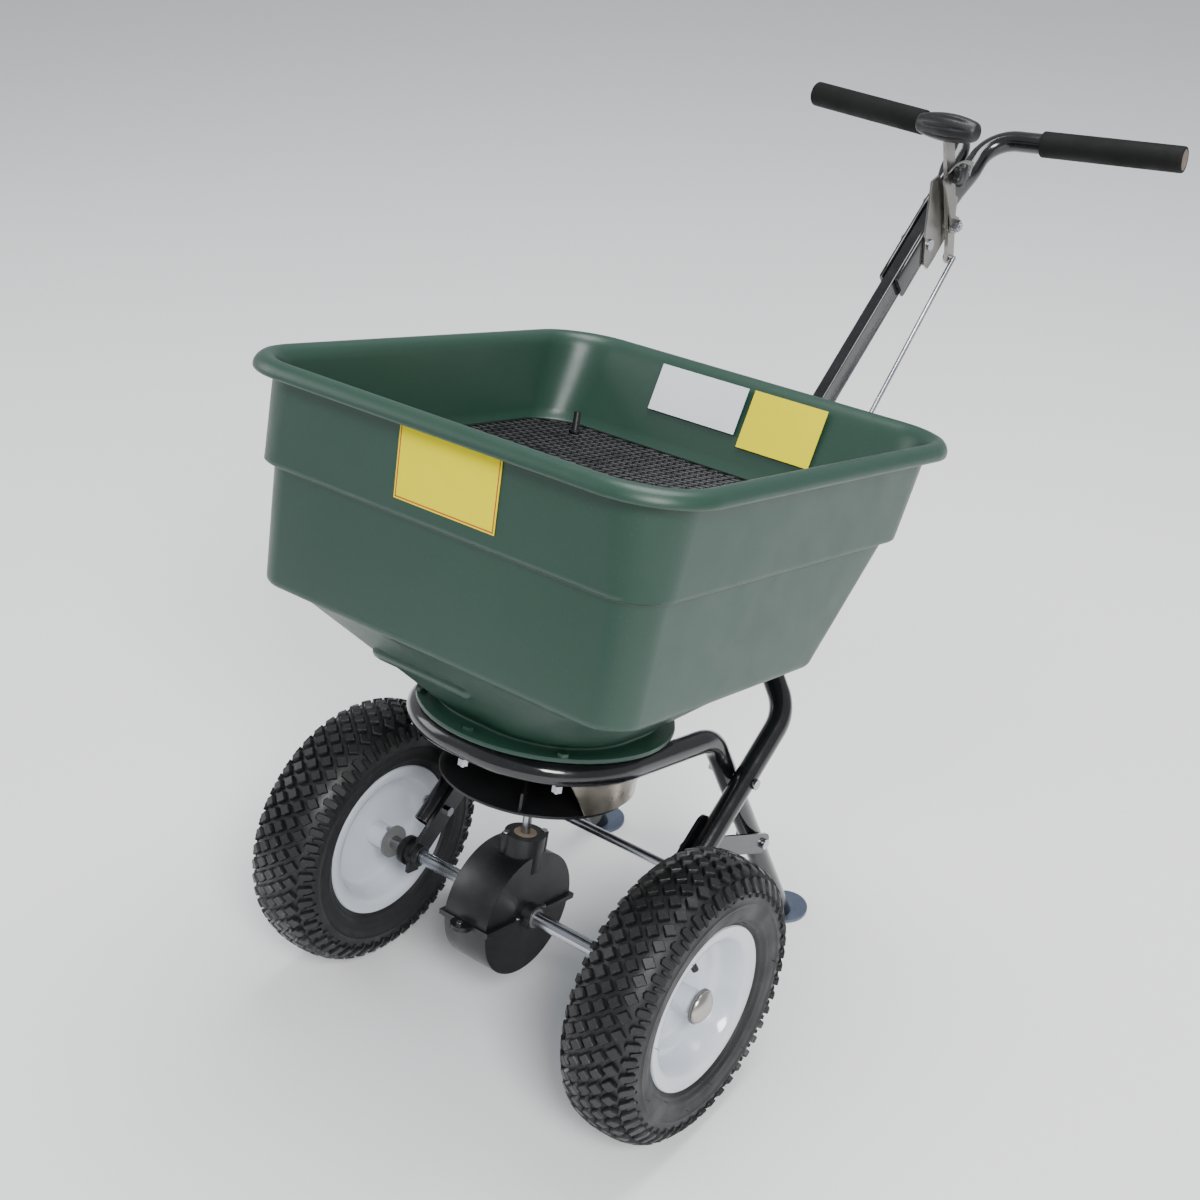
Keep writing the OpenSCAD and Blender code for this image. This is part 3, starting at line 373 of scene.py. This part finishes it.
def hopper_rib():
    """The raised bar moulded on the front of the funnel; its ends fade into the wall."""
    rib = bmesh.new()
    slope = math.atan2(FUNNEL_RISE, FUNNEL_RUN)
    x0, x1, up, steps, half_width = -112, 22, 64, 24, 9
    fade = 11
    rows = []
    for i in range(steps + 1):
        x = x0 + (x1 - x0) * i / steps
        end = min(x - x0, x1 - x) / fade
        full = math.sqrt(max(0, 1 - (1 - min(end, 1)) ** 2))
        row = []
        for j in range(11):
            a = math.pi * j / 10
            across = half_width * math.cos(a) * (0.1 + 0.9 * full)
            height = 6 * math.sin(a) ** 0.7 * full - 1.5
            row.append((x, FUNNEL_FRONT - (up + across) * math.cos(slope) - height * math.sin(slope),
                        FUNNEL_FOOT + (up + across) * math.sin(slope) - height * math.cos(slope)))
        rows.append(ring_of(rib, row))
    skin(rib, rows, caps=True)
    make("hopper_ribs", rib, MACHINE, GREEN, "frame", ())


hopper()
hopper_rib()


# The screen's rounded outline: half its width, front, rear and corner radius
SCREEN_HALF, SCREEN_FRONT, SCREEN_REAR, SCREEN_R = 237, -219, 245, 55
SCREEN_RIM = 5
SCREEN_UNDER, SCREEN_TOP = 466.4, 469.2
STRAND_WIDTH, STRAND_HEIGHT, STRAND_TWIST = 2.4, 1.3, 0.5


def in_screen(x, y, inset):
    """Whether a point lies inside the screen's outline, drawn in by inset."""
    half, r = SCREEN_HALF - inset, SCREEN_R - inset
    y0, y1 = SCREEN_FRONT + inset, SCREEN_REAR - inset
    cx, cy = half - r, (y0 + y1) / 2
    dx = abs(x) - cx
    dy = abs(y - cy) - ((y1 - y0) / 2 - r)
    if dx > 0 and dy > 0:
        return math.hypot(dx, dy) < r
    return abs(x) < half and y0 < y < y1


def strand(bm, a, b, width, height, twist):
    """A bar of the net from a to b, turned about its length by twist."""
    a, b = Vector(a), Vector(b)
    along = (b - a).normalized()
    side = Vector((-along.y, along.x, 0))
    up = Vector((0, 0, 1))
    s = side * math.cos(twist) + up * math.sin(twist)
    u = -side * math.sin(twist) + up * math.cos(twist)
    corners = ((-1, -1), (1, -1), (1, 1), (-1, 1))
    rows = []
    for p in (a - along * 0.3, b + along * 0.3):
        rows.append(ring_of(bm, [p + s * i * width / 2 + u * j * height / 2 for i, j in corners]))
    skin(bm, rows, caps=True)


def screen():
    """Expanded metal: strands between the knots of a diamond net, with a flat rim."""
    bm = bmesh.new()
    px, py, z = 11.0, 6.0, 468.2
    for i in range(-22, 23):
        for j in range(-38, 45):
            if (i + j) % 2:
                continue
            x, y = i * px, j * py + 4
            if not in_screen(x, y, 4):
                continue
            for sx in (-1, 1):
                x2, y2 = x + sx * px, y + py
                if in_screen(x2, y2, 4):
                    strand(bm, (x, y, z), (x2, y2, z), STRAND_WIDTH, STRAND_HEIGHT, STRAND_TWIST * sx)
            block(bm, (x - 1.9, y - 1.5, z - 0.8), (x + 1.9, y + 1.5, z + 0.9))
    rows = []
    for inset, height in ((0, SCREEN_UNDER), (0, SCREEN_TOP), (SCREEN_RIM, SCREEN_TOP),
                          (SCREEN_RIM, SCREEN_UNDER)):
        rows.append(ring_of(bm, rounded_rect(SCREEN_HALF - inset, SCREEN_FRONT + inset,
                                             SCREEN_REAR - inset, height, SCREEN_R - inset)))
    skin(bm, rows, loop=True)
    make("screen_mesh", bm, MACHINE, MESH_BLACK, "screen_body", ["screen"], sharp=30)


screen()


# ---- wheels ---------------------------------------------------------------------------------------------
# Half of the tyre's outer section as (radius, half width), from the bead to the middle of the tread
CARCASS = [(79, 28.5), (86, 30.6), (92, 33.5), (97, 37.5), (106, 41.6), (116, 43), (126, 42.2), (134, 38.8),
           (141, 32.5), (146, 23.5), (148.4, 12), (149, 0)]
# The tyre's inner section, all round
TYRE_HOLLOW = [(79, -20), (95, -31), (115, -35), (134, -31), (143, -12), (143, 12), (134, 31), (115, 35),
               (95, 31), (79, 20)]
# Fine raised rings on the side walls as (radius, height, width)
WALL_RINGS = ((118, 1.1, 1.4), (101, 1.3, 1.6), (95, 0.9, 1.2))
# Blocks in a row round the tyre, the distance of each row from the middle of the tread along the
# carcass, and the radius at which a block's length is turned into an angle
TREAD_COUNT = 50
TREAD_ROWS = (-26, -13, 0, 13, 26)
SHOULDER_ROW, BAR_ROW = 40.5, 46
TREAD_TURN_R = 152
TREAD_HEIGHT, SHOULDER_HEIGHT, BAR_HEIGHT = 5.6, 4.6, 2.2
SHOULDER_BLOCK = [(-4.6, -5.5), (0, -7.2), (4.6, -5.5), (4.8, 5), (3.4, 9), (-3.4, 9), (-4.8, 5)]
HAIR_COUNT = 14
# The pressed rim's section, as (radius, distance outwards), all round
RIM_SECTION = [
    (14.1, -11), (19, -11), (40, -8.4), (53, -7.3), (60, -7.4), (64, -9.5), (66.4, -13), (70, -22),
    (74, -30), (76.5, -33), (81, -34.5), (86, -35.5), (90, -35.2), (91, -33.4), (89.6, -31.8),
    (86, -32.6), (80, -31.4), (78, -29.4), (73.4, -21), (69.4, -13), (68, -3), (68, 5), (69.4, 12),
    (73.4, 20), (78, 29.4), (80, 31.4), (86, 32.6), (89.6, 31.8), (91, 33.4), (90, 35.2), (86, 35.5),
    (81, 34.5), (76.5, 33), (74, 30), (70, 20), (66.8, 11), (65, 7.6), (61.6, 5.6), (58.6, 4.2),
    (56.6, 1), (55, -2.6), (52, -4.4), (40, -5.6), (22, -7.6), (16.5, -8), (14.1, -8)]
# The hub cap's and the valve's profiles, as (radius, height)
HUB_DOME = [(0.01, 38), (5, 37.7), (9, 36.8), (13, 35), (15.6, 33.2), (17, 31.8), (17.8, 30.6),
            (18, 29.6), (17.4, 29.3), (11.4, 29.3), (11.4, 32.4), (0.01, 32.8)]
VALVE = [(3.3, 33), (4.6, 33.5), (4.6, 36), (3.2, 37), (3.2, 44), (3.8, 44.2), (3.8, 55), (3.2, 56.4),
         (2.8, 56.6)]


def wheel_body(side):
    return "drive_wheel" if side < 0 else "free_wheel"


def tyre(side):
    half = rounded(CARCASS, 5)
    line = [(p[0], p[1]) for p in half] + [(p[0], -p[1]) for p in reversed(half[:-1])]
    shaped = []
    for r, z in line:
        swell = 0.0
        for at, high, width in WALL_RINGS:
            if abs(r - at) < width * 2 and r < 130:
                swell += high * math.exp(-((r - at) / width) ** 2)
        shaped.append((r, z + math.copysign(swell, z) if abs(z) > 20 else z))
    bm = bmesh.new()
    revolve(bm, shaped + TYRE_HOLLOW, 144, loop=True)
    # Distances along the carcass from the middle of the tread, for placing the blocks
    crown = [Vector((p[0], p[1])) for p in reversed(half)]
    walked = [0.0]
    for a, b in zip(crown, crown[1:]):
        walked.append(walked[-1] + (b - a).length)

    def on_tread(s):
        """The point at a distance s from the middle of the tread, and the way outwards there."""
        d = abs(s)
        i = next((i for i in range(len(walked) - 2) if walked[i + 1] >= d), len(walked) - 2)
        k = (d - walked[i]) / (walked[i + 1] - walked[i])
        p = crown[i].lerp(crown[i + 1], k)
        t = (crown[i + 1] - crown[i]).normalized()
        n = Vector((t.y, -t.x))
        if s < 0:
            return Vector((p.x, -p.y)), Vector((n.x, -n.y))
        return p, n

    def lug(angle, s, outline, height, taper=0.82):
        """A tread block whose foot has the outline and whose top is smaller by taper."""
        rows = []
        for lift, shrink in ((-0.6, 1.0), (height - 0.7, taper + 0.04), (height, taper - 0.06)):
            row = []
            for u, v in outline:
                p, n = on_tread(s + v * shrink)
                q = p + n * lift
                a = angle + u * shrink / TREAD_TURN_R
                row.append((q.x * math.cos(a), q.x * math.sin(a), q.y))
            rows.append(ring_of(bm, row))
        skin(bm, rows, caps=True)

    lobes = []
    for i in range(16):
        a = 2 * math.pi * i / 16
        reach = (7.9, 6.4, 5.5, 6.4)[i % 4]
        lobes.append((reach * math.cos(a) * 1.02, reach * math.sin(a)))
    for i in range(TREAD_COUNT):
        for row, s in enumerate(TREAD_ROWS):
            lug(2 * math.pi * (i + 0.5 * (row % 2)) / TREAD_COUNT, s, lobes, TREAD_HEIGHT)
        for sign in (-1, 1):
            shoulder = [(u, sign * v) for u, v in SHOULDER_BLOCK]
            bar = [(u * 0.5, sign * v * 0.9) for u, v in SHOULDER_BLOCK]
            lug(2 * math.pi * (i + 0.5) / TREAD_COUNT, sign * SHOULDER_ROW, shoulder, SHOULDER_HEIGHT, 0.88)
            lug(2 * math.pi * i / TREAD_COUNT, sign * BAR_ROW, bar, BAR_HEIGHT, 0.85)
    # The thin moulding hairs on the outer wall
    for i in range(HAIR_COUNT):
        a = 2 * math.pi * (i * 0.618)
        r = (98, 125, 112)[i % 3]
        base = Vector((r * math.cos(a), r * math.sin(a), 41.5))
        rows = []
        for w, h in ((0.5, 0), (0.25, 5.0)):
            corners = [(w * math.cos(k * 2.1), w * math.sin(k * 2.1), h) for k in range(3)]
            rows.append(ring_of(bm, [(base.x + x, base.y + y, base.z + z) for x, y, z in corners]))
        skin(bm, rows, caps=True)
    name = side_name(side)
    make("tyre_treaded_" + name, bm, wheel_frame(side), RUBBER, wheel_body(side), ["tyre_" + name],
         sharp=32)


def rim_details(side):
    name = side_name(side)
    body = wheel_body(side)
    bm = bmesh.new()
    revolve(bm, RIM_SECTION, 120, loop=True)
    make("rim_pressed_" + name, bm, wheel_frame(side), WHITE, body, ["rim_" + name], sharp=50)
    cap = bmesh.new()
    revolve(cap, HUB_DOME, 64)
    make("hub_dome_" + name, cap, wheel_frame(side), CAP_CHROME_PAINTED_REFLECTION, body, ["hub_cap_" + name],
         sharp=60)
    # The weld bead between hub and disc, and the valve stem with its collar
    weld = bmesh.new()
    rows = []
    for i in range(72):
        a = 2 * math.pi * i / 72
        swell = 1.9 + 0.35 * math.sin(i * 2.2)
        row = []
        for k in range(8):
            t = 2 * math.pi * k / 8
            r = 14.2 + swell * (0.3 + math.cos(t))
            row.append((r * math.cos(a), r * math.sin(a), -7.6 + swell * math.sin(t)))
        rows.append(ring_of(weld, row))
    skin(weld, rows, loop=True)
    make("hub_weld_" + name, weld, wheel_frame(side), WHITE, body, ())
    stem = bmesh.new()
    revolve(stem, VALVE, 20)
    valve = Matrix.Translation((-90, 0, -10.8)) @ Matrix.Rotation(math.radians(55), 4, "Y")
    make("valve_" + name, stem, wheel_frame(side) @ valve, BLACK_PLASTIC, body, ())


for side in (-1, 1):
    tyre(side)
    rim_details(side)


# ---- handle ---------------------------------------------------------------------------------------------
# How far the handle runs back for each millimetre up
LINE_SLOPE = 0.836
# The upper tube: its radius, the place and half sizes of its flattened foot, and its bend
TUBE_R = 12.7
FLAT_X, FLAT_A, FLAT_B = 10.6, 3.0, 17
CORNER_X, CORNER_Z, CORNER_R = 14.2, 856, 42
FLAT_END_Z, ROUNDING_LENGTH = 782, 34
GRIP_LENGTH = 176


def on_line(z):
    """How far back the handle's straight line is at height z."""
    return 468 + LINE_SLOPE * (z - 537)


def bend(points, radii, steps=12):
    """The points of a path with rounded corners."""
    pts = [Vector(p) for p in points]
    out = [pts[0]]
    for i in range(1, len(pts) - 1):
        a = (pts[i] - pts[i - 1]).normalized()
        b = (pts[i + 1] - pts[i]).normalized()
        turn = a.angle(b)
        cut = radii[i] * math.tan(turn / 2)
        n = (b - a * a.dot(b)).normalized()
        centre = pts[i] - a * cut + n * radii[i]
        for k in range(steps + 1):
            t = turn * k / steps
            out.append(centre - n * radii[i] * math.cos(t) + a * radii[i] * math.sin(t))
    out.append(pts[-1])
    return out


def sweep(bm, path, sizes, first_side, count=32):
    """Sweeps an outline of half sizes (a, b) and a squareness, 1 for an oval and less for a flatter
    one, along the path; a lies along first_side at the start."""
    rows = []
    side = Vector(first_side)
    for i, p in enumerate(path):
        t = (path[min(i + 1, len(path) - 1)] - path[max(i - 1, 0)]).normalized()
        side = (side - t * side.dot(t)).normalized()
        up = t.cross(side)
        a, b, squareness = sizes[i]
        row = []
        for k in range(count):
            w = 2 * math.pi * k / count
            c, s = math.cos(w), math.sin(w)
            c = math.copysign(abs(c) ** squareness, c)
            s = math.copysign(abs(s) ** squareness, s)
            row.append(p + side * a * c + up * b * s)
        rows.append(ring_of(bm, row))
    skin(bm, rows, caps=True)


def upper_handle(side):
    """A tube that is flattened where it is bolted on, turns round, and bends outwards to its grip."""
    name = side_name(side)
    tip = Vector((257, 754, 872))
    corner = Vector((CORNER_X, on_line(CORNER_Z), CORNER_Z))
    out = (tip - corner).normalized()
    stations = []
    for z in (668, 669.5, 690, 715, 740, 765, 782, 790, 796, 802, 808, 814, 820):
        k = min(max((z - FLAT_END_Z) / ROUNDING_LENGTH, 0), 1)
        k = k * k * (3 - 2 * k)
        x = FLAT_X + (CORNER_X - FLAT_X) * k
        a = FLAT_A + (TUBE_R - FLAT_A) * k
        b = FLAT_B + (TUBE_R - FLAT_B) * k
        if z < 669:
            a, b = 2.4, 16.4
        stations.append((Vector((x, on_line(z), z)), (a, b, 0.45 + 0.55 * k)))
    turn = bend([stations[-1][0], corner, tip - out * 4], [0, CORNER_R, 0])
    path = [s[0] for s in stations] + turn[1:]
    sizes = [s[1] for s in stations] + [(TUBE_R, TUBE_R, 1.0)] * (len(turn) - 1)
    bm = bmesh.new()
    sweep(bm, path, sizes, (1, 0, 0))
    mirror = Matrix.Scale(side, 4, (1, 0, 0))
    make("upper_tube_" + name, bm, MACHINE @ mirror, BLACK, "frame", ["upper_handle_" + name])
    # Foam grip: rounded ends and a hollow outer face
    grip = bmesh.new()
    profile = [(12.75, 0), (14.6, 0.2), (15.8, 1.4), (16, 3), (16, 172), (15.8, 174.6), (14.8, 175.8),
               (13.4, GRIP_LENGTH), (12.75, 175)]
    revolve(grip, profile, 48, loop=True)
    base = tip - out * GRIP_LENGTH
    turned = Matrix.Translation(base) @ out.to_track_quat("Z", "Y").to_matrix().to_4x4()
    make("foam_grip_" + name, grip, MACHINE @ mirror @ turned, FOAM, "frame", ["grip_" + name])


for side in (-1, 1):
    upper_handle(side)


# ---- knobs ----------------------------------------------------------------------------------------------
# Where the lever's pivot and its knob are, as (back, up)
LEVER_PIVOT = (656, 749)
LEVER_KNOB = (594, 863)


def lever_knob():
    """A barrel across the lever's end, with eight grooves that stop short of its ends."""
    bm = bmesh.new()
    profile = rounded([(0.5, -18), (8.5, -17.6), (11.4, -15), (12.6, -10), (14.6, -2), (16.6, 12), (17, 22),
                       (16.6, 32), (14.8, 45), (13, 53), (11.6, 57.5), (8.5, 61), (0.5, 62)], 5)
    count = 96
    rows = []
    for p in profile:
        inside = min(max((p[1] + 9) / 8, 0), 1) * min(max((52 - p[1]) / 8, 0), 1)
        row = []
        for i in range(count):
            w = 2 * math.pi * i / count
            groove = max(0, math.cos(8 * w)) ** 3
            r = p[0] * (1 - 0.1 * groove * inside)
            row.append((p[1], r * math.cos(w), r * math.sin(w)))
        rows.append(ring_of(bm, row))
    skin(bm, rows, caps=True)
    place = Matrix.Translation((0, *LEVER_KNOB))
    make("barrel_knob", bm, MACHINE @ place, BLACK_PLASTIC, "lever_body", ["lever_knob"],
         sharp=45)


def clamp_knob():
    """The five-lobed knob on the lever's stud, 70 mm up from the pivot."""
    bm = bmesh.new()
    reach = (Vector(LEVER_KNOB) - Vector(LEVER_PIVOT)).normalized() * 70
    rows = []
    for x, scale in ((30.4, 0.6), (32.4, 0.64), (33.4, 0.92), (35, 1.0), (40, 1.0), (42, 0.95), (43.3, 0.8)):
        row = []
        for i in range(80):
            w = 2 * math.pi * i / 80
            lobe = (0.5 + 0.5 * math.cos(5 * w)) ** 0.7
            r = (10.2 + 4.8 * lobe) * scale
            row.append((x, r * math.cos(w), r * math.sin(w)))
        rows.append(ring_of(bm, row))
    skin(bm, rows, caps=True)
    place = Matrix.Translation((0, LEVER_PIVOT[0] + reach.x, LEVER_PIVOT[1] + reach.y))
    make("lobed_knob", bm, MACHINE @ place, BLACK_PLASTIC, "clamp", ["clamp_knob"],
         sharp=45)


lever_knob()
clamp_knob()


# ---- small visible details ------------------------------------------------------------------------------
def label_border(name, matrix, w, h, inset, line, material, body):
    """A thin frame printed just inside a label's edge."""
    bm = bmesh.new()
    for x0, x1, y0, y1 in ((inset, w - inset, inset, inset + line),
                           (inset, w - inset, h - inset - line, h - inset),
                           (inset, inset + line, inset, h - inset),
                           (w - inset - line, w - inset, inset, h - inset)):
        block(bm, (x0, 0, y0), (x1, 0.12, y1))
    make(name, bm, matrix, material, body)


LABEL_W, LABEL_H = 121, 73
band_tilt = Matrix.Rotation(math.atan2(4, BAND_RISE), 4, "X")
label_corner = (MACHINE @ Matrix.Translation((-44, -229.9, 552)) @ band_tilt
                @ Matrix.Translation((0, -0.14, -LABEL_H)))
label_border("front_label_line", label_corner, LABEL_W, LABEL_H, 1.5, 1.2, RED_LINE, "frame")


# ---- floor, light, camera -------------------------------------------------------------------------------
# Name, place, where it points, size and power of each soft light
LIGHTS = (("key", (2.6, -2.2, 3.0), (0, 0, 0.4), 1.2, 170),
          ("fill", (-3.2, -1.6, 2.0), (0, 0, 0.4), 2.0, 45),
          ("top", (0.2, 0.6, 3.6), (0, 0, 0.4), 1.8, 110))


def studio():
    """A pale floor, a soft sky and the lights."""
    bm = bmesh.new()
    bmesh.ops.create_grid(bm, x_segments=1, y_segments=1, size=30)
    mesh = bpy.data.meshes.new("floor")
    bm.to_mesh(mesh)
    bm.free()
    floor = bpy.data.objects.new("floor", mesh)
    bpy.context.scene.collection.objects.link(floor)
    plain, _, _, shader = new_material("floor_plain")
    shader.inputs["Base Color"].default_value = (0.92, 0.92, 0.92, 1)
    shader.inputs["Roughness"].default_value = 0.85
    floor.data.materials.append(plain)
    world = bpy.data.worlds.new("studio")
    bpy.context.scene.world = world
    world.use_nodes = True
    sky = world.node_tree.nodes["Background"]
    sky.inputs["Color"].default_value = (0.9, 0.94, 1.0, 1)
    sky.inputs["Strength"].default_value = 0.55
    for name, place, aim, size, power in LIGHTS:
        light = bpy.data.lights.new(name, "AREA")
        light.size = size
        light.energy = power
        lamp = bpy.data.objects.new(name, light)
        bpy.context.scene.collection.objects.link(lamp)
        lamp.location = place
        lamp.rotation_mode = "QUATERNION"
        lamp.rotation_quaternion = (Vector(aim) - Vector(place)).to_track_quat("-Z", "Y")


# The camera's direction in degrees, and its place from the axle in millimetres: back, right and up
CAMERA_AZIMUTH, CAMERA_ELEVATION = 38.2, 30.4
CAMERA_PLACE = (1849.6, 94.07, 332.3)


def camera():
    """Sets up the view from in front and to the right."""
    a, e = math.radians(CAMERA_AZIMUTH), math.radians(CAMERA_ELEVATION)
    back = Vector((math.sin(a) * math.cos(e), -math.cos(a) * math.cos(e), math.sin(e)))
    right = Vector((math.cos(a), math.sin(a), 0))
    up = right.cross(-back)
    data = bpy.data.cameras.new("camera")
    data.sensor_width = 36
    data.lens = 51.1
    data.clip_start = 0.05
    data.clip_end = 100
    cam = bpy.data.objects.new("camera", data)
    bpy.context.scene.collection.objects.link(cam)
    far, aside, above = CAMERA_PLACE
    place = Vector((0, ORIGIN_Y, TYRE_R)) + back * far + right * aside + up * above
    cam.matrix_world = Matrix.Translation(place / 1000) @ Matrix((right, up, back)).transposed().to_4x4()
    bpy.context.scene.camera = cam


studio()
camera()
